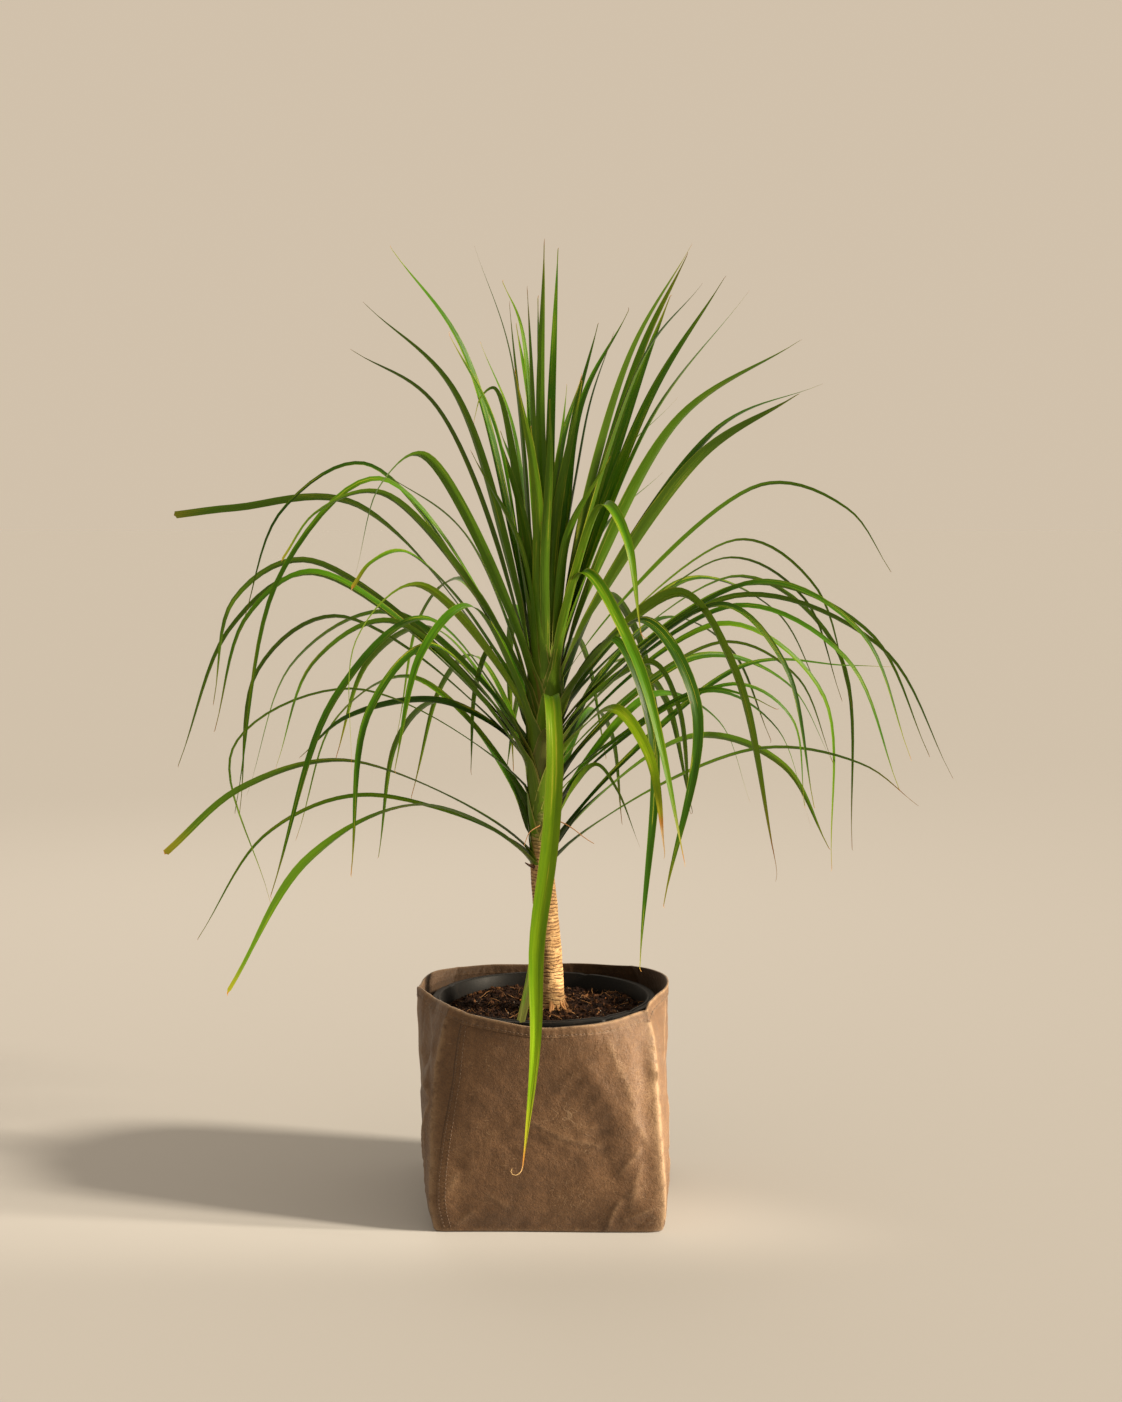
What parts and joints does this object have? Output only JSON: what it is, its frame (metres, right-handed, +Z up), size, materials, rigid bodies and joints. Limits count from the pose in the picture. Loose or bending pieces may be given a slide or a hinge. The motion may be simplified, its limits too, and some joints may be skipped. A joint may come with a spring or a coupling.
{
  "type": "potted dragon tree",
  "caption": "Potted dragon tree: a slim cane with a head of long arching strap leaves, in a nursery pot inside a brown cloth bag.",
  "frame": {"origin": "middle of the bag's flat base, on the surface that it stands on", "axes": "+Z up along the plant's height, +X to the right and +Y away from the viewer of its front"},
  "size_m": [0.7853, 0.6155, 0.9605],
  "materials": {
    "waxed_cloth": "brown waxed cloth, fine weave, scuffed and creased",
    "black_pot": "black satin moulded plastic",
    "potting_soil": "dark crumbly soil with bark and fibres; wood, of a like density, stands in for it",
    "cane_bark": "tan cane with close leaf-scar rings",
    "leaf_blade": "satin green strap leaf with fine long veins; wood stands in for living leaf"
  },
  "bodies": {
    "root": {"cloth_bag": "waxed_cloth", "nursery_pot": "black_pot", "soil": "potting_soil", "trunk": "cane_bark", "leaf_crown": "leaf_blade"}
  },
  "joints": []
}
